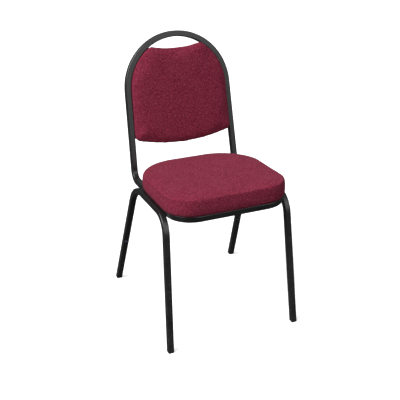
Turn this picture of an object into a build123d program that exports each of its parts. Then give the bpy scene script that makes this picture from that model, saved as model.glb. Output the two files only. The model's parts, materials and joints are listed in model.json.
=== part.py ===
from build123d import *
import os
from math import acos, atan2, cos, degrees, hypot, radians, sin, sqrt, tan

# Stacking chair with a dome-topped back, in millimetres.
# +X is to the right and -X to the left as seen from the front, -Y is the front and +Z is up.
# The origin is on the floor, at the middle of the chair's overall width and depth.

# ---------------------------------------------------------------- driving dimensions
tube = 19.0                     # square steel tube, side
tube_corner = 3.0               # its outer corner radius
tube_wall = 1.2                 # 18 gauge

rail_spacing = 360.0            # side rails of the loop, centre to centre
rail_height = 417.0             # rail centre line where it meets the back post
rail_length = 373.0             # back post to front rail, along the rail
seat_tilt = 2.2                 # degrees, the front is higher
back_recline = 13.5             # degrees from vertical
post_base_y = 142.0             # where post and rail centre lines cross
dome_height = 449.0             # along the reclined back, from there to the dome's centre line
dome_radius = 172.5             # centre line of the dome
front_corner_bend = 72.0        # centre-line bend radii
post_base_bend = 36.0
leg_front_bend = 65.0
leg_rear_bend = 97.0

leg_gap = 0.6                   # room between the leg tubes and the side rails
leg_front_corner = -182.5       # y where the leg frame's straight lines cross
leg_rear_corner = 82.5
front_foot = (214.5, -247.5)    # x and y of the leg's centre line on the floor
rear_foot = (221.0, 240.0)

glide_height = 6.0
glide_round = 2.2               # bottom edge of a glide
bumper_place = 0.437            # part of the rear leg's length up from the floor
bumper_diameter = 12.0
bumper_height = 5.0

cushion_half_width = 199.0
cushion_front = 11.5            # side corners of the cushion stand this far before the front rail
cushion_bow = 8.0               # and its middle bows this much further
cushion_rear = 15.0             # gap from the post's centre line back to the cushion
cushion_height = 56.0           # above the rails, at the middle
cushion_crown = 9.0
seat_board_thickness = 12.0

pad_gap = 1.0                   # between the back pad and the tube round it
pad_top = 414.0                 # top corners of the pad, along the back
pad_scoop = 11.0                # how far the middle of the top edge dips
pad_bottom = 125.0              # bottom corners of the pad
pad_bow = 24.0                  # how far the middle of the bottom edge hangs lower
pad_front = 24.0                # pad's front face, before the tube's centre plane
pad_back = 14.0                 # pad's rear face, behind the tube's centre plane
back_board_thickness = 10.0
back_board_inset = 7.2          # from the pad's outer edge

cover = 1.2                     # upholstery cloth
hem = 1.0                       # cloth folded flat under a board
slip = 0.15                     # clearance between nested soft pieces

# ---------------------------------------------------------------- planes and derived places
rail_half = rail_spacing / 2
tilt = radians(seat_tilt)
recline = radians(back_recline)
rail_plane = Plane(origin=(0, post_base_y, rail_height), x_dir=(1, 0, 0), z_dir=(0, sin(tilt), cos(tilt)))
seat_plane = rail_plane.offset(tube / 2)
back_plane = Plane(
    origin=(0, post_base_y, rail_height), x_dir=(1, 0, 0), z_dir=(0, -cos(recline), sin(recline))
)
seat_up = Axis(rail_plane.origin, rail_plane.z_dir)
back_forward = Axis(back_plane.origin, back_plane.z_dir)

# The posts lean inwards so that they run tangent into the dome, whose centre is on the middle line.
dome_centre = dome_height - dome_radius
lean = acos(dome_radius / hypot(rail_half, dome_centre)) - atan2(dome_centre, rail_half)

leg_half = rail_half + tube + leg_gap


def leaning_x(v, radius):
    """Half width, v up the back, of lines that lean like the posts, tangent to a circle in the dome."""
    return (radius - (v - dome_centre) * sin(lean)) / cos(lean)


def rail_z(y):
    """Height of the rails' centre plane at y."""
    return rail_height + (post_base_y - y) * tan(tilt)


def leg_corners(side):
    """Centre-line corners of a leg frame, from the front foot over the top to the rear foot."""
    return [
        Vector(side * front_foot[0], front_foot[1], 0),
        Vector(side * leg_half, leg_front_corner, rail_z(leg_front_corner)),
        Vector(side * leg_half, leg_rear_corner, rail_z(leg_rear_corner)),
        Vector(side * rear_foot[0], rear_foot[1], 0),
    ]


# ---------------------------------------------------------------- bent square tube
shortest_run = 0.01             # a straight run shorter than this between two bends is left out


class Bend:
    """One tangent arc between two straight runs of a centre line."""

    def __init__(self, before, corner, after, radius):
        into = (corner - before).normalized()
        out = (after - corner).normalized()
        self.normal = into.cross(out).normalized()
        self.angle = into.get_angle(out)
        setback = radius * tan(radians(self.angle) / 2)
        self.start = corner - into * setback
        self.end = corner + out * setback
        self.into = into
        self.out = out
        self.axis = Axis(self.start + self.normal.cross(into) * radius, self.normal)


def nearest_quarter(direction, along, reference):
    """The side direction of a square section that lies closest to a reference direction."""
    across = along.cross(direction)
    return max([direction, -direction, across, -across], key=lambda side: side.dot(reference))


def section(origin, along, side, size, corner):
    """A rounded square across the centre line."""
    with BuildSketch(Plane(origin=origin, x_dir=side, z_dir=along)) as outline:
        RectangleRounded(size, size, corner)
    return outline.sketch


def bent_bar(corners, radii, size, corner, end_side=None):
    """Solid square bar along a centre line with its corners bent on arcs."""
    places = zip(corners, corners[1:], corners[2:], radii)
    bends = [Bend(before, middle, after, radius) for before, middle, after, radius in places]
    side = bends[0].normal
    start = corners[0]
    with BuildPart() as bar:
        for bend in bends:
            next_side = nearest_quarter(bend.normal, bend.into, side)
            bend_section = section(bend.start, bend.into, next_side, size, corner)
            if (bend.start - start).length > shortest_run:
                loft([section(start, bend.into, side, size, corner), bend_section], ruled=True)
            revolve(bend_section, axis=bend.axis, revolution_arc=bend.angle)
            side = next_side.rotate(Axis((0, 0, 0), bend.normal), bend.angle)
            start = bend.end
        along = bends[-1].out
        end_side = nearest_quarter(end_side or side, along, side)
        last_run = [(start, side), (corners[-1], end_side)]
        loft([section(place, along, across, size, corner) for place, across in last_run], ruled=True)
    return bar.part


bore = tube - 2 * tube_wall
bore_corner = tube_corner - tube_wall


def save(piece, name):
    """Label a finished piece and write it under its node name."""
    piece.part.label = name
    export_step(piece.part, f"parts/{name}.step")


os.makedirs("parts", exist_ok=True)

# ---------------------------------------------------------------- seat and back loop
# One tube makes the dome, both posts, the side rails and the front rail. Its two ends meet
# half way along the right rail, where the leg frame and the cushion hide the joint.
butt_gap = 1.0
butt_place = -190.0             # along the rail, from the post base
screw_places = (-290.0, -150.0)  # seat screws, along the rail
screw_diameter = 6.0
screw_play = 0.25               # room round a screw's radius
weld_play = 0.02                # keeps a bead clear of the tubes that it joins


def loop_corners():
    """Centre-line corners of the loop, forwards from the joint and round to the joint again."""
    corner_x = leaning_x(dome_height, dome_radius)
    on_rails = [(rail_half, butt_place - butt_gap / 2), (rail_half, -rail_length), (-rail_half, -rail_length)]
    corners = [rail_plane.from_local_coords(Vector(x, y)) for x, y in on_rails]
    on_back = [(-rail_half, 0), (-corner_x, dome_height), (corner_x, dome_height), (rail_half, 0)]
    corners += [back_plane.from_local_coords(Vector(x, y)) for x, y in on_back]
    corners.append(rail_plane.from_local_coords(Vector(rail_half, butt_place + butt_gap / 2)))
    return corners


loop_bends = [front_corner_bend, front_corner_bend, post_base_bend, dome_radius, dome_radius, post_base_bend]

loop_bar = bent_bar(loop_corners(), loop_bends, tube, tube_corner, end_side=rail_plane.z_dir)
loop_bore = bent_bar(loop_corners(), loop_bends, bore, bore_corner, end_side=rail_plane.z_dir)

with BuildPart() as seat_back_loop:
    add(loop_bar)
    add(loop_bore, mode=Mode.SUBTRACT)
    with Locations(rail_plane.offset(tube)):
        with Locations([(side * rail_half, y) for side in (-1, 1) for y in screw_places]):
            Hole(radius=screw_diameter / 2 + screw_play, depth=2 * tube)
save(seat_back_loop, "seat_back_loop")

with BuildPart() as loop_butt_weld:
    butt_plane = Plane(
        origin=rail_plane.from_local_coords(Vector(rail_half, butt_place)),
        x_dir=(1, 0, 0), z_dir=rail_plane.y_dir,
    )
    with BuildSketch(butt_plane):
        RectangleRounded(tube, tube, tube_corner)
        RectangleRounded(bore, bore, bore_corner, mode=Mode.SUBTRACT)
    extrude(amount=butt_gap / 2 - weld_play, both=True)
save(loop_butt_weld, "loop_butt_weld")

# ---------------------------------------------------------------- leg frames
stem_diameter = 5.0
stem_length = 7.0
stem_play = 0.1
bumper_dome = 4.2               # rounding of the bumper's outer edge


def foot_plane(side, front):
    """Section plane of a leg where its centre line meets the floor, facing up the leg."""
    corners = leg_corners(side)
    if front:
        bend = Bend(corners[0], corners[1], corners[2], leg_front_bend)
        return Plane(origin=corners[0], x_dir=bend.normal, z_dir=bend.into)
    bend = Bend(corners[1], corners[2], corners[3], leg_rear_bend)
    return Plane(origin=corners[3], x_dir=bend.normal, z_dir=-bend.out)


def bumper_plane(side):
    """Plane on the front face of a rear leg, facing forwards, where the stacking bumper sits."""
    leg = foot_plane(side, front=False)
    corners = leg_corners(side)
    along = corners[2] - corners[3]
    forward = leg.z_dir.cross(leg.x_dir)
    if forward.Y > 0:
        forward = -forward
    spot = corners[3] + along * bumper_place + forward * tube / 2
    return Plane(origin=spot, x_dir=leg.x_dir, z_dir=forward)


def below_floor(corners):
    """The same corners with both feet carried on below the floor, to be trimmed level."""
    drop = 0.1
    first = corners[0] + (corners[0] - corners[1]) * drop
    last = corners[3] + (corners[3] - corners[2]) * drop
    return [first, corners[1], corners[2], last]


leg_bends = [leg_front_bend, leg_rear_bend]
for side, name in ((1, "right"), (-1, "left")):
    leg_line = below_floor(leg_corners(side))
    leg_bar = bent_bar(leg_line, leg_bends, tube, tube_corner)
    leg_bore = bent_bar(leg_line, leg_bends, bore, bore_corner)
    with BuildPart() as leg_frame:
        add(leg_bar)
        add(leg_bore, mode=Mode.SUBTRACT)
        split(bisect_by=Plane.XY.offset(glide_height), keep=Keep.TOP)
        with Locations(bumper_plane(side)):
            Hole(radius=stem_diameter / 2 + stem_play, depth=stem_length + 1)
    save(leg_frame, f"{name}_leg_frame")

    with BuildPart() as leg_bumper:
        with Locations(bumper_plane(side)):
            Cylinder(bumper_diameter / 2, bumper_height, align=(Align.CENTER, Align.CENTER, Align.MIN))
            dome_edge = leg_bumper.faces().sort_by(Axis((0, 0, 0), bumper_plane(side).z_dir))[-1].edges()
            fillet(dome_edge, radius=bumper_dome)
            Cylinder(stem_diameter / 2, stem_length, align=(Align.CENTER, Align.CENTER, Align.MAX))
    save(leg_bumper, f"{name}_leg_bumper")

# ---------------------------------------------------------------- foot glides
plug_length = 18.0
plug_play = 0.15


def leg_slice(plane, size, corner, low, high):
    """The piece of a square bar along a leg that lies between two heights."""
    with BuildPart() as bar:
        with BuildSketch(plane):
            RectangleRounded(size, size, corner)
        extrude(amount=2 * (plug_length + glide_height), both=True)
        split(bisect_by=Plane.XY.offset(low), keep=Keep.TOP)
        split(bisect_by=Plane.XY.offset(high), keep=Keep.BOTTOM)
    return bar.part


for side, side_name in ((1, "right"), (-1, "left")):
    for front, end_name in ((True, "front"), (False, "rear")):
        plane = foot_plane(side, front)
        cap = leg_slice(plane, tube, tube_corner, 0, glide_height)
        plug_size = bore - 2 * plug_play
        plug = leg_slice(plane, plug_size, bore_corner, glide_height, glide_height + plug_length)
        with BuildPart() as glide:
            add(cap)
            fillet(glide.faces().sort_by(Axis.Z)[0].edges(), radius=glide_round)
            add(plug)
        save(glide, f"{end_name}_{side_name}_glide")

# ---------------------------------------------------------------- crossbar and welds
crossbar_place = -48.0          # along the rail, from the post base
crossbar_drop = 1.0             # keeps it clear of the seat board
crossbar_end_gap = 0.25

with BuildPart() as rear_crossbar:
    bar_centre = rail_plane.from_local_coords(Vector(0, crossbar_place, -crossbar_drop))
    with BuildSketch(Plane(origin=bar_centre, x_dir=rail_plane.y_dir, z_dir=(1, 0, 0))):
        RectangleRounded(tube, tube, tube_corner)
        RectangleRounded(bore, bore, bore_corner, mode=Mode.SUBTRACT)
    extrude(amount=rail_half - tube / 2 - crossbar_end_gap, both=True)
save(rear_crossbar, "rear_crossbar")

# The beads run in the groove between the lower corners of the rails and the leg tubes.
bead_radius = hypot(tube_corner + leg_gap / 2, tube_corner) - tube_corner - weld_play
bead_length = 32.0
bead_places = (-252.0, -200.0, -148.0)
with BuildPart() as leg_frame_welds:
    for side in (-1, 1):
        for place in bead_places:
            middle = Vector(side * (rail_half + (tube + leg_gap) / 2), place, -tube / 2)
            spot = rail_plane.from_local_coords(middle)
            with BuildSketch(Plane(origin=spot, x_dir=(1, 0, 0), z_dir=rail_plane.y_dir)):
                Circle(bead_radius)
            extrude(amount=bead_length / 2, both=True)
save(leg_frame_welds, "leg_frame_welds")

# ---------------------------------------------------------------- seat cushion
front_corner_round = 90.0
rear_corner_round = 142.0
cushion_edge = 8.0
cushion_under_edge = 9.0
board_inset = 10.0
opening_inset = 42.0            # the cloth is folded this far under the board
dust_cover_inset = 31.0
dust_cover_thickness = 0.8
dust_cover_gap = 0.05


def seat_outline(height, inset):
    """Plan of the cushion at a height above the rails, drawn in by an inset."""
    half = cushion_half_width - inset
    depth = 2 * (rail_length + cushion_front)
    bow_radius = (cushion_half_width ** 2 + cushion_bow ** 2) / (2 * cushion_bow)
    bow_centre = bow_radius - rail_length - cushion_front - cushion_bow
    with BuildSketch(seat_plane.offset(height)) as plan:
        with Locations((0, -cushion_rear - inset)):
            Rectangle(2 * half, depth, align=(Align.CENTER, Align.MAX))
        with Locations((0, bow_centre)):
            Circle(bow_radius - inset, mode=Mode.INTERSECT)
        fillet(plan.vertices().sort_by(Axis.Y)[:2], radius=front_corner_round - inset)
        fillet(plan.vertices().sort_by(Axis.Y)[-2:], radius=rear_corner_round - inset)
    return plan.sketch


def seat_block(inset, low, high, edge, under_edge):
    """Crowned block on the cushion's plan, between two heights above the rails."""
    crown_radius = (cushion_half_width ** 2 + cushion_crown ** 2) / (2 * cushion_crown)
    middle_y = (-rail_length - cushion_rear) / 2
    ball_centre = seat_plane.from_local_coords(Vector(0, middle_y, high - crown_radius))
    with BuildPart() as block:
        extrude(seat_outline(low, inset), amount=high - low)
        with Locations(ball_centre):
            Sphere(crown_radius, mode=Mode.INTERSECT)
        fillet(block.faces().sort_by(seat_up)[-1].edges(), radius=edge)
        if under_edge:
            fillet(block.faces().sort_by(seat_up)[0].edges(), radius=under_edge)
    return block.part


tee_nut_flange = 16.0
tee_nut_flange_thickness = 1.2
tee_nut_barrel = 8.0
tee_nut_length = 10.0
nut_play = 0.1
flange_room = 0.5               # foam cut away round a flange, and above it
flange_height = tee_nut_flange_thickness + flange_room
seat_nut_spots = [(side * rail_half, y) for side in (-1, 1) for y in screw_places]
board_low = hem
board_high = hem + seat_board_thickness

inner_top = cushion_height - cover
inner_edges = (cushion_edge - cover, cushion_under_edge - cover)
cushion_inner = seat_block(cover, hem, inner_top, *inner_edges)
foam_body = seat_block(cover + slip, hem, inner_top - slip, *inner_edges)
cushion_outer = seat_block(0, 0, cushion_height, cushion_edge, cushion_under_edge)

with BuildPart() as seat_cover:
    add(cushion_outer)
    add(cushion_inner, mode=Mode.SUBTRACT)
    extrude(seat_outline(-hem, opening_inset), amount=3 * hem, mode=Mode.SUBTRACT)
    with Locations(seat_plane):
        with Locations(seat_nut_spots):
            Cylinder(screw_diameter / 2 + screw_play, 8 * hem, mode=Mode.SUBTRACT)
save(seat_cover, "seat_cover")

with BuildPart() as seat_board:
    extrude(seat_outline(board_low, board_inset), amount=seat_board_thickness)
    with Locations(seat_plane.offset(board_high)):
        with Locations(seat_nut_spots):
            Hole(radius=tee_nut_barrel / 2 + nut_play, depth=seat_board_thickness)
save(seat_board, "seat_board")

with BuildPart() as seat_foam:
    add(foam_body)
    board_room = seat_outline(board_low - hem, board_inset - slip)
    extrude(board_room, amount=hem + seat_board_thickness + slip, mode=Mode.SUBTRACT)
    with Locations(seat_plane.offset(board_high)):
        with Locations(seat_nut_spots):
            Cylinder(tee_nut_flange / 2 + flange_room, 2 * flange_height, mode=Mode.SUBTRACT)
save(seat_foam, "seat_foam")

with BuildPart() as seat_dust_cover:
    top = seat_outline(-dust_cover_gap, dust_cover_inset)
    extrude(top, amount=-dust_cover_thickness)
save(seat_dust_cover, "seat_dust_cover")


def tee_nuts(plane, spots, barrel_length, flange, barrel, thread):
    """Flanged tee-nuts pressed into a board from the padded face, which is the plane given."""
    with BuildPart() as nuts:
        with Locations(plane):
            with Locations(spots):
                Cylinder(flange / 2, tee_nut_flange_thickness, align=(Align.CENTER, Align.CENTER, Align.MIN))
                Cylinder(barrel / 2, barrel_length, align=(Align.CENTER, Align.CENTER, Align.MAX))
                Cylinder(thread / 2 + nut_play, 4 * barrel_length, mode=Mode.SUBTRACT)
    return nuts


slot_width = 1.0                # cross slots in the screw heads
slot_part = 0.62                # of the head's diameter
slot_depth = 1.1


def pan_screws(plane, spots, head, head_height, shank, length):
    """Pan-head screws: the head's bearing face is on the plane and the shank runs up from it."""
    with BuildPart() as screws:
        with Locations(plane):
            with Locations(spots):
                Cylinder(head / 2, head_height, align=(Align.CENTER, Align.CENTER, Align.MAX))
        fillet(screws.faces().group_by(Axis(plane.origin, plane.z_dir))[0].edges(), radius=head_height / 2)
        with Locations(plane.offset(-head_height)):
            with Locations(spots):
                Box(head * slot_part, slot_width, 2 * slot_depth, mode=Mode.SUBTRACT)
                Box(slot_width, head * slot_part, 2 * slot_depth, mode=Mode.SUBTRACT)
        with Locations(plane):
            with Locations(spots):
                Cylinder(shank / 2, length, align=(Align.CENTER, Align.CENTER, Align.MIN))
    return screws


seat_nut_plane = seat_plane.offset(board_high)
seat_tee_nuts = tee_nuts(
    seat_nut_plane, seat_nut_spots, tee_nut_length, tee_nut_flange, tee_nut_barrel, screw_diameter
)
save(seat_tee_nuts, "seat_tee_nuts")
seat_screws = pan_screws(
    rail_plane.offset(-tube / 2), seat_nut_spots, head=12.0, head_height=3.6, shank=screw_diameter,
    length=tube + board_high - 2,
)
save(seat_screws, "seat_screws")

# ---------------------------------------------------------------- back pad
pad_radius = dome_radius - tube / 2 - pad_gap
pad_corner_round = 14.0
pad_top_round = 6.0
least_round = 0.8               # corner radius that an inset outline keeps at least
pad_edge = 11.0
tab_thickness = 3.0
tab_length = 30.0
tab_height = 30.0
tab_places = (172.0, 258.0)     # along the back
tab_screw_inset = 19.0          # from the post's inner face
back_screw_diameter = 5.0


def pad_outline(depth, inset):
    """Front view of the back pad at a depth before the tube's centre plane, drawn in by an inset."""
    radius = pad_radius - inset
    tangent = (radius * cos(lean), dome_centre + radius * sin(lean))
    foot = (tangent[0] + tangent[1] * tan(lean), 0)
    bottom_x = leaning_x(pad_bottom, pad_radius)
    bow_radius = (bottom_x ** 2 + pad_bow ** 2) / (2 * pad_bow)
    top_x = sqrt(pad_radius ** 2 - (pad_top - dome_centre) ** 2)
    scoop_radius = (top_x ** 2 + pad_scoop ** 2) / (2 * pad_scoop)
    with BuildSketch(back_plane.offset(depth)) as view:
        with BuildLine():
            Line(foot, tangent)
            ThreePointArc(tangent, (0, dome_centre + radius), (-tangent[0], tangent[1]))
            Line((-tangent[0], tangent[1]), (-foot[0], 0))
            Line((-foot[0], 0), foot)
        make_face()
        with Locations((0, pad_bottom - pad_bow + bow_radius)):
            Circle(bow_radius - inset, mode=Mode.INTERSECT)
        with Locations((0, pad_top - pad_scoop + scoop_radius)):
            Circle(scoop_radius + inset, mode=Mode.SUBTRACT)
        fillet(view.vertices().group_by(Axis.Y)[0], radius=max(pad_corner_round - inset, least_round))
        fillet(view.vertices().group_by(Axis.Y)[-1], radius=max(pad_top_round - inset, least_round))
    return view.sketch


def pad_block(inset, low, high, edge, front=True):
    """Block on the pad's outline between two depths, with its outer face's edge rounded."""
    with BuildPart() as block:
        extrude(pad_outline(low, inset), amount=high - low)
        outer_face = block.faces().sort_by(back_forward)[-1 if front else 0]
        fillet(outer_face.edges(), radius=edge)
    return block.part


def post_point(v, inward):
    """Point in the back plane beside the right post, v up it and inward from its centre line."""
    return (leaning_x(v, dome_radius) - inward * cos(lean), v - inward * sin(lean))


def tab_boxes(clearance, low, high):
    """The four tab shapes between two depths, for the tabs and for the slots round them."""
    size = (tab_length + clearance, tab_height + 2 * clearance)
    with BuildPart() as boxes:
        with BuildSketch(back_plane.offset(low)):
            for place in tab_places:
                with Locations(Location((*post_point(place, tube / 2), 0), (0, 0, degrees(lean)))):
                    Rectangle(*size, align=(Align.MAX, Align.CENTER))
            mirror(about=Plane.YZ)
        extrude(amount=high - low)
    return boxes.part


rim = 2.0                       # where front cover and rear panel meet, before the tube's centre plane
board_back = rim + hem
board_front = board_back + back_board_thickness
tab_back = rim - tab_thickness
tab_gap = 0.05
tab_play = 1.0                  # slots in the rear panel round the tabs
back_opening_inset = 36.0
back_nut_barrel = 7.0
clip_head = 18.0
clip_head_thickness = 2.0
clip_shank = 8.0
clip_spots = [(side * 70.0, v) for side in (-1, 1) for v in (150.0, 250.0, 350.0)]
back_nut_spots = [post_point(place, tube / 2 + tab_screw_inset) for place in tab_places]
back_nut_spots += [(-x, y) for x, y in back_nut_spots]
tab_slots = tab_boxes(tab_play, tab_back - tab_play, rim + tab_play)

with BuildPart() as back_mount_tabs:
    add(tab_boxes(0, tab_back, rim - tab_gap))
    with Locations(back_plane.offset(rim)):
        with Locations(back_nut_spots):
            Hole(radius=back_screw_diameter / 2 + screw_play, depth=2 * tab_thickness)
save(back_mount_tabs, "back_mount_tabs")

with BuildPart() as back_board:
    extrude(pad_outline(board_back, back_board_inset), amount=back_board_thickness)
    with Locations(back_plane.offset(board_front)):
        with Locations(back_nut_spots):
            Hole(radius=back_nut_barrel / 2 + nut_play, depth=back_board_thickness)
        with Locations(clip_spots):
            Hole(radius=clip_shank / 2 + nut_play, depth=back_board_thickness)
save(back_board, "back_board")

front_inner = pad_block(cover, board_back, pad_front - cover, pad_edge - cover)
front_foam = pad_block(cover + slip, board_back, pad_front - cover - slip, pad_edge - cover)
front_outer = pad_block(0, rim + tab_gap, pad_front, pad_edge)

with BuildPart() as back_cover:
    add(front_outer)
    add(front_inner, mode=Mode.SUBTRACT)
    extrude(pad_outline(rim - hem, back_opening_inset), amount=3 * hem, mode=Mode.SUBTRACT)
    with Locations(back_plane.offset(rim)):
        with Locations(back_nut_spots):
            Cylinder(back_screw_diameter / 2 + screw_play, 6 * hem, mode=Mode.SUBTRACT)
save(back_cover, "back_cover")

with BuildPart() as back_foam:
    add(front_foam)
    board_room = pad_outline(board_back - hem, back_board_inset - slip)
    extrude(board_room, amount=hem + back_board_thickness + slip, mode=Mode.SUBTRACT)
    with Locations(back_plane.offset(board_front)):
        with Locations(back_nut_spots):
            Cylinder(tee_nut_flange / 2 + flange_room, 2 * flange_height, mode=Mode.SUBTRACT)
save(back_foam, "back_foam")

pan_skin = 3.0
pan_rim = 5.0
pan_edge = 8.0                  # rounding of the rear face's edge
pan_inset = 4.0                 # wadding fills the room between the panel and its cloth
pan_back = pad_back - 3.0
with BuildPart() as back_rear_panel:
    add(pad_block(pan_inset, -pan_back, rim, pan_edge - pan_inset, front=False))
    hollow = pad_outline(-pan_back + pan_skin, pan_inset + pan_rim)
    extrude(hollow, amount=2 * pad_back, mode=Mode.SUBTRACT)
    add(tab_slots, mode=Mode.SUBTRACT)
save(back_rear_panel, "back_rear_panel")

with BuildPart() as back_rear_cover:
    add(pad_block(0, -pad_back, rim, pan_edge, front=False))
    add(pad_block(cover, -pad_back + cover, rim + hem, pan_edge - cover, front=False), mode=Mode.SUBTRACT)
    add(tab_slots, mode=Mode.SUBTRACT)
save(back_rear_cover, "back_rear_cover")

with BuildPart() as rear_panel_clips:
    with Locations(back_plane.offset(-pan_back + pan_skin)):
        with Locations(clip_spots):
            Cylinder(clip_head / 2, clip_head_thickness, align=(Align.CENTER, Align.CENTER, Align.MIN))
            shank_length = pan_back - pan_skin + board_front - hem
            Cylinder(clip_shank / 2, shank_length, align=(Align.CENTER, Align.CENTER, Align.MIN))
save(rear_panel_clips, "rear_panel_clips")

back_tee_nuts = tee_nuts(
    back_plane.offset(board_front), back_nut_spots, back_board_thickness - hem, tee_nut_flange,
    back_nut_barrel, back_screw_diameter,
)
save(back_tee_nuts, "back_tee_nuts")
back_screws = pan_screws(
    back_plane.offset(tab_back), back_nut_spots, head=10.0, head_height=3.2, shank=back_screw_diameter,
    length=board_front - tab_back - hem,
)
save(back_screws, "back_screws")
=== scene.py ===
import json
import math
import bmesh
import bpy
import numpy as np
from mathutils import Matrix, Vector


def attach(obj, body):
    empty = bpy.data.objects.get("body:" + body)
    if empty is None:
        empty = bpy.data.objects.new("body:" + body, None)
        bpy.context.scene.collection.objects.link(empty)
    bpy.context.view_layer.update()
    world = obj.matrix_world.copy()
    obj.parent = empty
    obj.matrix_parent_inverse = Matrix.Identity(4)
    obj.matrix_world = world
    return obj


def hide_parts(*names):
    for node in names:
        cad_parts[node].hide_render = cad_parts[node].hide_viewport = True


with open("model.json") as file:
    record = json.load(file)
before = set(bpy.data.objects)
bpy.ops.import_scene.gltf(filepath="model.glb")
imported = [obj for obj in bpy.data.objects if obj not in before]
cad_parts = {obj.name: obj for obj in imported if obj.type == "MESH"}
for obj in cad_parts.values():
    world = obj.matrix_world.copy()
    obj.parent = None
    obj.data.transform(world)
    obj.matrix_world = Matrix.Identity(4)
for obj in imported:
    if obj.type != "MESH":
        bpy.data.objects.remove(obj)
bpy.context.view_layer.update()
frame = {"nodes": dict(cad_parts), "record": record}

# Stacking chair with a dome-topped back, in metres. +X is to the right seen from the front, -Y is the front.

# ---------------------------------------------------------------- planes of the seat and the back
tube = 0.019
rail_height = 0.417             # rail centre line where it meets the back post
post_base_y = 0.142
seat_tilt = math.radians(2.2)
back_recline = math.radians(13.5)


def plane(origin, up):
    """A frame with x along the chair's width and z along up."""
    side = Vector((1, 0, 0))
    turn = Matrix((side, up.cross(side), up)).transposed()
    return Matrix.Translation(origin) @ turn.to_4x4()


seat_up = Vector((0, math.sin(seat_tilt), math.cos(seat_tilt)))
back_forward = Vector((0, -math.cos(back_recline), math.sin(back_recline)))
post_base = Vector((0, post_base_y, rail_height))
seat_plane = plane(post_base + seat_up * tube / 2, seat_up)
back_plane = plane(post_base, back_forward)


# ---------------------------------------------------------------- material helpers
def new_material(name):
    """A node material with its tree and its Principled shader."""
    material = bpy.data.materials.new(name)
    material.use_nodes = True
    return material, material.node_tree, material.node_tree.nodes["Principled BSDF"]


def node(tree, kind, inputs=None, **settings):
    """A node with its settings and inputs. An input is a value or another node's output."""
    made = tree.nodes.new(kind)
    for key, value in settings.items():
        setattr(made, key, value)
    for key, value in (inputs or {}).items():
        if isinstance(value, bpy.types.NodeSocket):
            tree.links.new(value, made.inputs[key])
        else:
            made.inputs[key].default_value = value
    return made


def object_coords(tree, stretch=(1, 1, 1)):
    """Object coordinates in metres, stretched along the axes."""
    coords = node(tree, "ShaderNodeTexCoord").outputs["Object"]
    return node(tree, "ShaderNodeMapping", {"Vector": coords, "Scale": stretch}).outputs[0]


def noise(tree, coords, size, detail=2.0, rough=0.5):
    """Noise from 0 to 1 with features of about size metres."""
    inputs = {"Vector": coords, "Scale": 1 / size, "Detail": detail, "Roughness": rough}
    return node(tree, "ShaderNodeTexNoise", inputs).outputs["Fac"]


def spread(tree, value, low, high, from_low=0.3, from_high=0.7):
    """Maps a value onto another range and clamps it."""
    inputs = {"Value": value, "From Min": from_low, "From Max": from_high, "To Min": low, "To Max": high}
    return node(tree, "ShaderNodeMapRange", inputs).outputs[0]


def math_node(tree, operation, first, second=0.0):
    """One arithmetic step."""
    return node(tree, "ShaderNodeMath", {0: first, 1: second}, operation=operation).outputs[0]


def colour_mix(tree, amount, first, second):
    """Blends two colours."""
    made = node(tree, "ShaderNodeMix", data_type="RGBA")
    for place, value in ((0, amount), (6, first), (7, second)):
        if isinstance(value, bpy.types.NodeSocket):
            tree.links.new(value, made.inputs[place])
        else:
            made.inputs[place].default_value = value if place == 0 else (*value, 1)
    return made.outputs[2]


def bump(tree, shader, height, distance, strength=1.0):
    """Adds a bump to the shader, on top of any bump that it has."""
    inputs = {"Height": height, "Distance": distance, "Strength": strength}
    made = node(tree, "ShaderNodeBump", inputs)
    for link in list(shader.inputs["Normal"].links):
        tree.links.new(link.from_socket, made.inputs["Normal"])
    tree.links.new(made.outputs[0], shader.inputs["Normal"])


def connect(tree, output, shader, name):
    tree.links.new(output, shader.inputs[name])


# ---------------------------------------------------------------- materials
def powder_coat():
    """Satin black powder coat: fine orange peel, uneven gloss, and slightly paler worn edges."""
    material, tree, shader = new_material("powder_coat")
    coords = object_coords(tree)
    grain = noise(tree, coords, 0.0011, 3)
    cloudy = noise(tree, coords, 0.045, 4)
    wear = noise(tree, coords, 0.006, 5, 0.7)
    edges = node(tree, "ShaderNodeNewGeometry").outputs["Pointiness"]
    edge_wear = math_node(tree, "MULTIPLY", spread(tree, edges, 0, 1, 0.52, 0.60), spread(tree, wear, 0, 1, 0.45, 0.7))
    tone = colour_mix(tree, spread(tree, cloudy, 0, 1), (0.0055, 0.0057, 0.006), (0.010, 0.0103, 0.011))
    connect(tree, colour_mix(tree, edge_wear, tone, (0.04, 0.04, 0.042)), shader, "Base Color")
    rough = math_node(tree, "ADD", spread(tree, cloudy, 0.29, 0.38), spread(tree, grain, -0.03, 0.05))
    connect(tree, rough, shader, "Roughness")
    shader.inputs["Specular IOR Level"].default_value = 0.62
    bump(tree, shader, grain, 0.00012, 0.5)
    return material


def moulded_plastic(name, colour, rough):
    """Moulded plastic with a fine texture and scuffs."""
    material, tree, shader = new_material(name)
    coords = object_coords(tree)
    texture = noise(tree, coords, 0.0006, 2)
    scuffs = noise(tree, object_coords(tree, (1, 1, 0.3)), 0.004, 5, 0.7)
    paler = tuple(channel * 1.7 + 0.004 for channel in colour)
    connect(tree, colour_mix(tree, spread(tree, scuffs, 0, 1, 0.5, 0.75), colour, paler), shader, "Base Color")
    connect(tree, spread(tree, scuffs, rough - 0.06, rough + 0.12), shader, "Roughness")
    bump(tree, shader, texture, 0.00006, 0.5)
    return material


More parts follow.
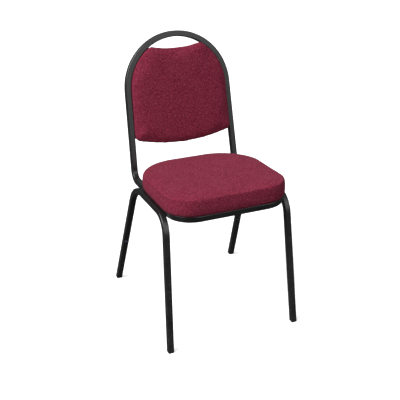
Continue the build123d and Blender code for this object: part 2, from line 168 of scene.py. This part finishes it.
def woven_cloth():
    """Burgundy heathered upholstery: crossing threads with nubs, mottled yarn colours and a soft sheen, with painted
    shade darkening the cloth along the sewn seam.
    The cloth map is in metres along the threads, and the seam value is the distance from the sewn seam."""
    material, tree, shader = new_material("burgundy_weave")
    thread = 0.0013
    cloth = node(tree, "ShaderNodeUVMap", uv_map="cloth").outputs[0]
    wander = node(tree, "ShaderNodeTexNoise", {"Vector": cloth, "Scale": 180.0}).outputs["Color"]
    nudge = node(tree, "ShaderNodeVectorMath", {0: wander, 3: 0.0007}, operation="SCALE").outputs[0]
    cloth = node(tree, "ShaderNodeVectorMath", {0: cloth, 1: nudge}, operation="ADD").outputs[0]
    wave_scale = math.tau / 20 / (2 * thread)
    warp = node(tree, "ShaderNodeTexWave", {"Vector": cloth, "Scale": wave_scale}, bands_direction="X").outputs[1]
    weft = node(tree, "ShaderNodeTexWave", {"Vector": cloth, "Scale": wave_scale}, bands_direction="Y").outputs[1]
    over = node(tree, "ShaderNodeTexChecker", {"Vector": cloth, "Scale": 1 / (2 * thread)}).outputs["Fac"]
    lie = math_node(tree, "SUBTRACT", 1.0, over)
    weave = math_node(tree, "ADD", math_node(tree, "MULTIPLY", warp, over), math_node(tree, "MULTIPLY", weft, lie))

    along_weft = node(tree, "ShaderNodeMapping", {"Vector": cloth, "Scale": (0.35, 1, 1)}).outputs[0]
    along_warp = node(tree, "ShaderNodeMapping", {"Vector": cloth, "Scale": (1, 0.35, 1)}).outputs[0]
    weft_yarn = noise(tree, along_weft, 0.0021, 3, 0.65)
    warp_yarn = noise(tree, along_warp, 0.0024, 3, 0.65)
    nubs = noise(tree, cloth, 0.0042, 5, 0.8)
    cloudy = noise(tree, cloth, 0.05, 3)

    heather = colour_mix(tree, spread(tree, weft_yarn, 0, 1, 0.38, 0.62), (0.075, 0.0035, 0.013), (0.245, 0.019, 0.050))
    heather = colour_mix(tree, spread(tree, warp_yarn, 0, 0.6, 0.5, 0.68), heather, (0.40, 0.08, 0.13))
    heather = colour_mix(tree, spread(tree, nubs, 0, 0.6, 0.52, 0.7), heather, (0.055, 0.003, 0.010))
    heather = colour_mix(tree, spread(tree, cloudy, 0, 0.16), heather, (0.28, 0.05, 0.085))
    # Painted shade along the seam: within about 2 mm of the sewn seam the cloth is mixed up to 35% towards a near-black
    # tone.
    seam = node(tree, "ShaderNodeAttribute", attribute_name="seam").outputs["Fac"]
    painted_seam_shade = spread(tree, seam, 0.35, 0.0, 0.0004, 0.0022)
    connect(tree, colour_mix(tree, painted_seam_shade, heather, (0.035, 0.003, 0.009)), shader, "Base Color")
    connect(tree, spread(tree, nubs, 0.82, 0.96), shader, "Roughness")
    shader.inputs["Specular IOR Level"].default_value = 0.08
    shader.inputs["Sheen Weight"].default_value = 0.04
    shader.inputs["Sheen Roughness"].default_value = 0.45
    shader.inputs["Sheen Tint"].default_value = (0.9, 0.55, 0.62, 1)
    bump(tree, shader, weave, 0.0004, 0.7)
    bump(tree, shader, nubs, 0.0007, 0.55)
    return material


def wood(name, pale, dark, ring):
    """Raw board: long grain streaks and open pores."""
    material, tree, shader = new_material(name)
    streaks = noise(tree, object_coords(tree, (1, 0.06, 1)), ring, 5, 0.6)
    pores = noise(tree, object_coords(tree, (1, 0.1, 1)), 0.0012, 3)
    connect(tree, colour_mix(tree, spread(tree, streaks, 0, 1), pale, dark), shader, "Base Color")
    connect(tree, spread(tree, pores, 0.62, 0.82), shader, "Roughness")
    bump(tree, shader, pores, 0.0002, 0.5)
    return material


def open_foam():
    """Cream polyurethane foam with open cells, with painted shade darkening the hollows of the cells."""
    material, tree, shader = new_material("open_foam")
    cells = node(tree, "ShaderNodeTexVoronoi", {"Vector": object_coords(tree), "Scale": 700.0}).outputs["Distance"]
    # Painted shade: the colour is darkest where the cell bump is lowest, in the hollows of the cells.
    connect(tree, colour_mix(tree, spread(tree, cells, 0, 1), (0.5, 0.42, 0.25), (0.82, 0.76, 0.55)), shader,
            "Base Color")
    shader.inputs["Roughness"].default_value = 0.95
    bump(tree, shader, cells, 0.0006, 0.8)
    return material


def dust_cloth():
    """Black non-woven cloth with its pressed dimples and stray fibres."""
    material, tree, shader = new_material("dust_cloth")
    coords = object_coords(tree)
    dimples = node(tree, "ShaderNodeTexVoronoi", {"Vector": coords, "Scale": 420.0}).outputs["Distance"]
    fibres = noise(tree, object_coords(tree, (1, 0.2, 1)), 0.0009, 4, 0.7)
    connect(tree, colour_mix(tree, spread(tree, fibres, 0, 1), (0.009, 0.009, 0.01), (0.035, 0.035, 0.037)), shader,
            "Base Color")
    connect(tree, spread(tree, fibres, 0.7, 0.9), shader, "Roughness")
    bump(tree, shader, dimples, 0.0003, 0.6)
    return material


def zinc_plate():
    """Zinc-plated steel: brushed turning marks and dull patches."""
    material, tree, shader = new_material("zinc_plate")
    marks = noise(tree, object_coords(tree, (1, 1, 0.1)), 0.0008, 3)
    patches = noise(tree, object_coords(tree), 0.006, 3)
    connect(tree, colour_mix(tree, spread(tree, patches, 0, 1), (0.42, 0.42, 0.4), (0.62, 0.61, 0.57)), shader,
            "Base Color")
    shader.inputs["Metallic"].default_value = 1.0
    connect(tree, spread(tree, patches, 0.28, 0.48), shader, "Roughness")
    bump(tree, shader, marks, 0.00006, 0.5)
    return material


finishes = {
    "frame_paint": powder_coat(),
    "glide_plastic": moulded_plastic("glide_plastic", (0.012, 0.0125, 0.018), 0.42),
    "bumper_plastic": moulded_plastic("bumper_plastic", (0.008, 0.010, 0.022), 0.22),
    "upholstery": woven_cloth(),
    "foam": open_foam(),
    "plywood": wood("plywood", (0.55, 0.4, 0.24), (0.4, 0.26, 0.14), 0.012),
    "hardboard": wood("hardboard", (0.2, 0.11, 0.06), (0.13, 0.07, 0.035), 0.004),
    "dust_cloth": dust_cloth(),
    "zinc_steel": zinc_plate(),
    "clip_plastic": moulded_plastic("clip_plastic", (0.7, 0.7, 0.66), 0.45),
}

for subpart in frame["record"]["subparts"]:
    body = frame["nodes"][subpart["node"]]
    for place in body.material_slots:
        place.material = finishes[subpart["material_slot"]]


# ---------------------------------------------------------------- outlines from the CAD boards
def board_outline(name, board_plane, count=240):
    """The outer edge of a flat CAD board as x and y in its own plane, evenly spaced and anticlockwise."""
    board = bmesh.new()
    board.from_mesh(frame["nodes"][name].data)
    board.transform(board_plane.inverted())
    bmesh.ops.remove_doubles(board, verts=board.verts, dist=1e-5)
    face_height = max(vertex.co.z for vertex in board.verts) - 1e-4
    walls = [face for face in board.faces if min(vertex.co.z for vertex in face.verts) < face_height]
    bmesh.ops.delete(board, geom=walls, context="FACES")
    rim = {edge for edge in board.edges if len(edge.link_faces) == 1}
    loops = []
    while rim:
        loop = list(rim.pop().verts)
        following = [edge for edge in loop[-1].link_edges if edge in rim]
        while following:
            rim.remove(following[0])
            loop.append(following[0].other_vert(loop[-1]))
            following = [edge for edge in loop[-1].link_edges if edge in rim]
        loops.append(np.array([vertex.co.xy for vertex in loop]))
    board.free()

    def lengths(loop):
        return np.linalg.norm(np.diff(loop, axis=0), axis=1)

    outer = max(loops, key=lambda loop: lengths(loop).sum())
    if np.sum(outer[:-1, 0] * outer[1:, 1] - outer[1:, 0] * outer[:-1, 1]) < 0:
        outer = outer[::-1]
    along = np.concatenate([[0], np.cumsum(lengths(outer))])
    places = np.linspace(0, along[-1], count, endpoint=False)
    return np.stack([np.interp(places, along, outer[:, axis]) for axis in (0, 1)], axis=1)


def grown(outline, amount):
    """The outline moved outwards along its normals."""
    tangent = np.roll(outline, -1, axis=0) - np.roll(outline, 1, axis=0)
    tangent /= np.linalg.norm(tangent, axis=1)[:, None]
    return outline + amount * np.stack([tangent[:, 1], -tangent[:, 0]], axis=1)


def inset_and_along(points, outline):
    """For points in the plane: how far each lies inside the outline, and how far along it."""
    start = outline
    run = np.roll(outline, -1, axis=0) - start
    run_length = np.linalg.norm(run, axis=1)
    begin = np.concatenate([[0], np.cumsum(run_length)[:-1]])
    inset = np.empty(len(points))
    along = np.empty(len(points))
    for chunk in np.array_split(np.arange(len(points)), max(1, len(points) // 4000)):
        offset = points[chunk, None] - start[None]
        part = np.clip((offset * run[None]).sum(axis=2) / run_length[None] ** 2, 0, 1)
        away = offset - part[..., None] * run[None]
        distance = np.linalg.norm(away, axis=2)
        nearest = distance.argmin(axis=1)
        pick = np.arange(len(chunk)), nearest
        inside = run[nearest, 0] * offset[pick][:, 1] - run[nearest, 1] * offset[pick][:, 0]
        inset[chunk] = np.where(inside > 0, 1, -1) * distance[pick]
        along[chunk] = begin[nearest] + part[pick] * run_length[nearest]
    return inset, along


# ---------------------------------------------------------------- padded pieces
def pad_mesh(name, outline, profile, crown, direction=1):
    """A closed pad: rings of the outline at each (inset, height), closed flat below and by a crown above."""
    made = bmesh.new()
    middle = outline.mean(axis=0)
    rings = []

    def add_ring(points, heights):
        rings.append([made.verts.new((x, y, z)) for (x, y), z in zip(points, heights)])

    for inset, height in profile:
        add_ring(grown(outline, -inset), [direction * height] * len(outline))
    last_inset, last_height = profile[-1]
    rim = grown(outline, -last_inset)
    for share in (0.85, 0.7, 0.55, 0.4, 0.25, 0.1):
        rise = crown * (1 - share ** 2.4)
        add_ring(middle + (rim - middle) * share, [direction * (last_height + rise)] * len(outline))
    for lower, upper in zip(rings, rings[1:]):
        for place in range(len(outline)):
            after = (place + 1) % len(outline)
            made.faces.new((lower[place], lower[after], upper[after], upper[place]))
    made.faces.new(rings[0][::-1])
    made.faces.new(rings[-1])
    bmesh.ops.recalc_face_normals(made, faces=made.faces)
    mesh = bpy.data.meshes.new(name)
    made.to_mesh(mesh)
    made.free()
    piece = bpy.data.objects.new(name, mesh)
    bpy.context.scene.collection.objects.link(piece)
    return piece


def coords_of(mesh):
    """The mesh's vertices as an array."""
    flat = np.empty(len(mesh.vertices) * 3)
    mesh.vertices.foreach_get("co", flat)
    return flat.reshape(-1, 3)


def normals_of(mesh):
    """The mesh's vertex normals as an array."""
    flat = np.empty(len(mesh.vertices) * 3)
    mesh.vertices.foreach_get("normal", flat)
    return flat.reshape(-1, 3)


def set_coords(mesh, coords):
    mesh.vertices.foreach_set("co", coords.ravel())
    mesh.update()


def bake(piece):
    """Applies the piece's modifiers."""
    graph = bpy.context.evaluated_depsgraph_get()
    graph.update()
    baked = bpy.data.meshes.new_from_object(piece.evaluated_get(graph))
    piece.modifiers.clear()
    piece.data = baked


def smoothed(moves, mesh, rounds=14):
    """Evens out the moves over neighbouring vertices, which takes out fine puckers and keeps the swell."""
    ends = np.empty(len(mesh.edges) * 2, dtype=int)
    mesh.edges.foreach_get("vertices", ends)
    first, second = ends.reshape(-1, 2).T
    neighbours = np.bincount(ends, minlength=len(moves))[:, None]
    for _ in range(rounds):
        total = np.zeros_like(moves)
        np.add.at(total, first, moves[second])
        np.add.at(total, second, moves[first])
        moves = 0.5 * moves + 0.5 * total / neighbours
    return moves


def inflate(piece, hold, most_across, most_up, floor=None, voxel=0.005, pressure=4.0):
    """Remeshes the pad and lets a cloth simulation swell it. hold gives how firmly each point is held,
    from 0 to 1. Then its moves are capped, with none inwards, and one subdivision smooths it."""
    remesh = piece.modifiers.new("remesh", "REMESH")
    remesh.mode = "VOXEL"
    remesh.voxel_size = voxel
    bake(piece)
    smooth = piece.modifiers.new("smooth", "SMOOTH")
    smooth.iterations = 2
    bake(piece)
    start = coords_of(piece.data)
    held = piece.vertex_groups.new(name="held")
    for index, weight in enumerate(hold(start)):
        if weight > 0:
            held.add([index], float(weight), "REPLACE")
    cloth = piece.modifiers.new("cloth", "CLOTH")
    settings = cloth.settings
    settings.use_pressure = True
    settings.uniform_pressure_force = pressure
    settings.vertex_group_mass = "held"
    settings.effector_weights.gravity = 0
    settings.bending_stiffness = 0.8
    scene = bpy.context.scene
    for step in range(1, 21):
        scene.frame_set(step)
    bake(piece)
    scene.frame_set(1)
    moved = coords_of(piece.data) - start
    across = np.linalg.norm(moved[:, :2], axis=1)
    moved[:, :2] *= np.minimum(1, most_across / np.maximum(across, 1e-9))[:, None]
    moved[:, 2] = np.clip(moved[:, 2], -most_up, most_up)
    outwards = start[:, :2] - start[:, :2].mean(axis=0)
    moved[:, :2] *= ((moved[:, :2] * outwards).sum(axis=1) > 0)[:, None]
    set_coords(piece.data, start + smoothed(moved, piece.data))
    piece.vertex_groups.clear()
    subdivide = piece.modifiers.new("subdivide", "SUBSURF")
    subdivide.levels = 1
    bake(piece)
    if floor is not None:
        coords = coords_of(piece.data)
        coords[:, 2] = np.maximum(coords[:, 2], floor) if floor >= 0 else np.minimum(coords[:, 2], -floor)
        set_coords(piece.data, coords)


def cloth_map(mesh, on_face, inset, along, half_height):
    """Writes the cloth's map in metres: threads run with x and y on the face panel, and round the edge
    band. Every polygon takes one panel's map, so the weave changes at the seam and not across it."""
    coords = coords_of(mesh)
    corners = np.empty(len(mesh.loops), dtype=int)
    mesh.loops.foreach_get("vertex_index", corners)
    owner = np.empty(len(mesh.loops), dtype=int)
    for polygon in mesh.polygons:
        owner[polygon.loop_start:polygon.loop_start + polygon.loop_total] = polygon.index
    share = np.bincount(owner, on_face[corners].astype(float)) / np.bincount(owner)
    face_panel = (share > 0.5)[owner]
    height = np.abs(coords[:, 2])
    round_edge = np.where(height > half_height, height + inset, height - inset)
    band = np.stack([along, round_edge], axis=1)
    uv = np.where(face_panel[:, None], coords[corners][:, :2], band[corners])
    layer = mesh.uv_layers.new(name="cloth")
    layer.data.foreach_set("uv", uv.ravel())


def sew(piece, outline, seam_inset, seam_low, half_height, groove=0.0007, groove_width=0.0024):
    """Presses the sewn seam into the pad at its inset, above a height, and writes the seam distance, which the cloth
    material uses for painted shade along the seam, and the cloth map.
    Without a groove there is no seam, and the cloth map only changes where the cloth folds."""
    mesh = piece.data
    coords = coords_of(mesh)
    inset, along = inset_and_along(coords[:, :2], outline)
    raised = np.abs(coords[:, 2]) > seam_low
    distance = np.where(raised & (groove > 0), np.abs(inset - seam_inset), 1.0)
    depth = groove * np.exp(-(distance / groove_width) ** 2)
    normals = normals_of(mesh)
    set_coords(mesh, coords - normals * depth[:, None])
    attribute = mesh.attributes.new("seam", "FLOAT", "POINT")
    attribute.data.foreach_set("value", distance)
    cloth_map(mesh, raised & (inset > seam_inset), inset, along, half_height)


def dress(piece, placing, finish, *replaced):
    """Puts a piece that was made in its own plane in place, with its finish, on the chair."""
    piece.data.transform(placing)
    piece.data.materials.clear()
    piece.data.materials.append(finishes[finish])
    for polygon in piece.data.polygons:
        polygon.use_smooth = True
    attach(piece, "root")
    if replaced:
        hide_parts(*replaced)


# ---------------------------------------------------------------- seat cushion
dust_cover_inset = 0.031        # from the cushion's outer edge
cushion_shift = 0.002           # the cushion is screwed on a little to the left
seat_outline = grown(board_outline("seat_dust_cover", seat_plane), dust_cover_inset) - (cushion_shift, 0)
seat_seam_inset = 0.0028
seat_seam_height = 0.0500
seat_crown = 0.0040             # of the top panel, most of it close to the seam
crown_reach = 0.018
seat_profile = [
    (0.0090, -0.0010), (0.0045, 0.0020), (0.0020, 0.0060), (0.0008, 0.0110), (0.0002, 0.0220),
    (0.0002, 0.0340), (0.0012, 0.0440), (seat_seam_inset, seat_seam_height),
]
for step in (0.003, 0.007, 0.012, 0.020, 0.030, 0.045):
    crown_height = seat_crown * (1 - math.exp(-step / crown_reach))
    seat_profile.append((seat_seam_inset + step, seat_seam_height + crown_height))


def seat_hold(coords):
    """The underside is stapled to the board, and the seam holds the cloth in."""
    inset, _ = inset_and_along(coords[:, :2], seat_outline)
    seam = np.exp(-((inset - seat_seam_inset) / 0.004) ** 2) * (coords[:, 2] > 0.03)
    return np.where(coords[:, 2] < 0.002, 1.0, 0.85 * seam)


def raise_front(mesh, wedge=0.005):
    """Makes the cushion a little thicker at the front than at the rear."""
    coords = coords_of(mesh)
    middle = coords[:, 1].mean()
    forward = (middle - coords[:, 1]) / np.ptp(coords[:, 1])
    coords[:, 2] += wedge * 2 * forward * np.clip(coords[:, 2] / seat_seam_height, 0, 1)
    set_coords(mesh, coords)


seat_cushion = pad_mesh("seat_cushion", seat_outline, seat_profile, crown=0.001)
raise_front(seat_cushion.data)
inflate(seat_cushion, seat_hold, 0.0010, 0.0025, floor=0.0003, voxel=0.004)
sew(seat_cushion, seat_outline, seat_seam_inset, seam_low=0.03, half_height=0.02)
dress(seat_cushion, seat_plane, "upholstery", "seat_cover", "seat_foam")

# ---------------------------------------------------------------- back pad
board_edge_inset = 0.0072       # from the pad's outer edge
rim_back = 0.002                # the pad meets its rear panel this far before the tube's centre plane
back_outline = grown(board_outline("back_board", back_plane), board_edge_inset)
back_fold_inset = 0.0065        # where the cloth's face turns into its edge
front_profile = [
    (0.0, rim_back - 0.001), (0.0, 0.009), (-0.0012, 0.0112), (-0.0022, 0.0140), (-0.0015, 0.0168),
    (0.0015, 0.0195), (0.0065, 0.0215), (0.014, 0.0229), (0.026, 0.0240),
]
rear_profile = [
    (0.0004, -rim_back - 0.001), (0.0002, 0.0020), (0.0004, 0.0082), (0.0011, 0.0115), (0.0034, 0.0136),
    (0.0080, 0.0144), (0.0160, 0.0147),
]


def back_hold(coords):
    """The rim is stapled to the board."""
    return np.where(np.abs(coords[:, 2] - rim_back) < 0.002, 1.0, 0.0)


back_pad = pad_mesh("back_pad", back_outline, front_profile, 0.004)
inflate(back_pad, back_hold, 0.0016, 0.004, floor=rim_back + 0.0001, voxel=0.0045)
sew(back_pad, back_outline, back_fold_inset, seam_low=0.015, half_height=0.01, groove=0.0)
dress(back_pad, back_plane, "upholstery", "back_cover", "back_foam")

rear_pad = pad_mesh("rear_cover", back_outline, rear_profile, 0.0012, direction=-1)
inflate(rear_pad, back_hold, 0.0010, 0.0015, floor=None, voxel=0.0045, pressure=1.5)
sew(rear_pad, back_outline, back_fold_inset, seam_low=0.009, half_height=0.005, groove=0.0)
dress(rear_pad, back_plane, "upholstery", "back_rear_cover")

# ---------------------------------------------------------------- dust cover and its staples
dust_outline = board_outline("seat_dust_cover", seat_plane)
dust_sag = 0.003
dust_thickness = 0.0006


def dust_cover():
    """Thin black cloth stapled under the seat, with a slight sag and slack ripples."""
    made = bmesh.new()
    middle = dust_outline.mean(axis=0)
    shares = [1 - step / 24 for step in range(24)]
    rings = []
    for share in shares:
        points = middle + (dust_outline - middle) * share
        sag = dust_sag * (1 - share ** 2)
        ripple = 0.0006 * np.sin(points[:, 0] * 95 + 2 * np.sin(points[:, 1] * 40)) * (1 - share ** 8)
        rings.append([made.verts.new((x, y, -0.0009 - sag + lift)) for (x, y), lift in zip(points, ripple)])
    for outer, inner in zip(rings, rings[1:]):
        for place in range(len(outer)):
            after = (place + 1) % len(outer)
            made.faces.new((outer[place], outer[after], inner[after], inner[place]))
    made.faces.new(rings[-1])
    mesh = bpy.data.meshes.new("dust_cover")
    made.to_mesh(mesh)
    made.free()
    piece = bpy.data.objects.new("dust_cover", mesh)
    bpy.context.scene.collection.objects.link(piece)
    solidify = piece.modifiers.new("thickness", "SOLIDIFY")
    solidify.thickness = dust_thickness
    solidify.offset = -1
    bake(piece)
    return piece


seat_dust = dust_cover()
dress(seat_dust, seat_plane, "dust_cloth", "seat_dust_cover")


def staples():
    """Wire staples round the dust cover's edge."""
    made = bmesh.new()
    edge = grown(dust_outline, -0.006)
    spacing = 10
    for place in range(0, len(edge), spacing):
        run = edge[(place + 1) % len(edge)] - edge[place - 1]
        turn = Matrix.Rotation(math.atan2(run[1], run[0]), 4, "Z")
        shape = Matrix.Diagonal((0.010, 0.0012, 0.0006, 1))
        spot = Matrix.Translation((*edge[place], -0.00175))
        bmesh.ops.create_cube(made, size=1, matrix=spot @ turn @ shape)
    bmesh.ops.bevel(made, geom=made.edges[:], offset=0.0002, segments=2, affect="EDGES")
    mesh = bpy.data.meshes.new("seat_staples")
    made.to_mesh(mesh)
    made.free()
    piece = bpy.data.objects.new("seat_staples", mesh)
    bpy.context.scene.collection.objects.link(piece)
    return piece


dress(staples(), seat_plane, "zinc_steel")

# ---------------------------------------------------------------- floor, light and camera
def stage_floor():
    """Plain pale floor."""
    bpy.ops.mesh.primitive_plane_add(size=40)
    floor = bpy.context.object
    floor.name = "floor"
    material, tree, shader = new_material("pale_floor")
    tone = noise(tree, object_coords(tree), 0.6, 2)
    connect(tree, colour_mix(tree, spread(tree, tone, 0, 1), (0.86, 0.86, 0.86), (0.88, 0.88, 0.88)), shader,
            "Base Color")
    shader.inputs["Roughness"].default_value = 0.9
    shader.inputs["Emission Color"].default_value = (1, 1, 1, 1)
    shader.inputs["Emission Strength"].default_value = 0.5
    floor.data.materials.append(material)
    floor.visible_diffuse = False
    floor.visible_glossy = False


def soft_light(name, towards, softness, strength):
    """A broad studio light, evenly bright over the whole floor, that comes from a direction."""
    data = bpy.data.lights.new(name, "SUN")
    data.angle = softness
    data.energy = strength
    lamp = bpy.data.objects.new(name, data)
    lamp.rotation_euler = Vector(towards).to_track_quat("Z", "Y").to_euler()
    bpy.context.scene.collection.objects.link(lamp)


def studio_world():
    """A dim studio with a paler ceiling and one broad softbox in front, just above the level of the chair."""
    world = bpy.data.worlds.new("studio")
    world.use_nodes = True
    tree = world.node_tree
    coords = node(tree, "ShaderNodeTexCoord").outputs["Generated"]
    height = node(tree, "ShaderNodeSeparateXYZ", {0: coords}).outputs["Z"]
    box_towards = Vector((0.36, -0.93, 0.58)).normalized()
    facing = node(tree, "ShaderNodeVectorMath", {0: coords, 1: box_towards}, operation="DOT_PRODUCT").outputs[1]
    box = spread(tree, facing, 0.0, 2.1, math.cos(math.radians(30)), math.cos(math.radians(14)))
    ambient = spread(tree, height, 0.07, 0.32, -0.1, 0.9)
    tree.links.new(math_node(tree, "ADD", box, ambient), tree.nodes["Background"].inputs["Strength"])
    tree.nodes["Background"].inputs["Color"].default_value = (1, 1, 1, 1)
    bpy.context.scene.world = world


stage_floor()
soft_light("key", (-1.1, -0.17, 1.0), math.radians(45), 4.5)
studio_world()
bpy.context.scene.view_settings.view_transform = "Standard"

azimuth = math.radians(-23.53)
elevation = math.radians(25.45)
roll = math.radians(0.25)
camera_distance = 2.467
camera_target = Vector((-0.0264, -0.0362, 0.3887))

sight = Vector((-math.sin(azimuth) * math.cos(elevation), math.cos(azimuth) * math.cos(elevation),
                -math.sin(elevation)))
level_right = Vector((math.cos(azimuth), math.sin(azimuth), 0))
level_up = level_right.cross(sight)
camera_right = level_right * math.cos(roll) + level_up * math.sin(roll)
camera_up = camera_right.cross(sight)
camera_data = bpy.data.cameras.new("camera")
camera_data.lens = 70.2
camera_data.sensor_width = 36.0
camera = bpy.data.objects.new("camera", camera_data)
turn = Matrix((camera_right, camera_up, -sight)).transposed().to_4x4()
camera.matrix_world = Matrix.Translation(camera_target - sight * camera_distance) @ turn
bpy.context.scene.collection.objects.link(camera)
bpy.context.scene.camera = camera
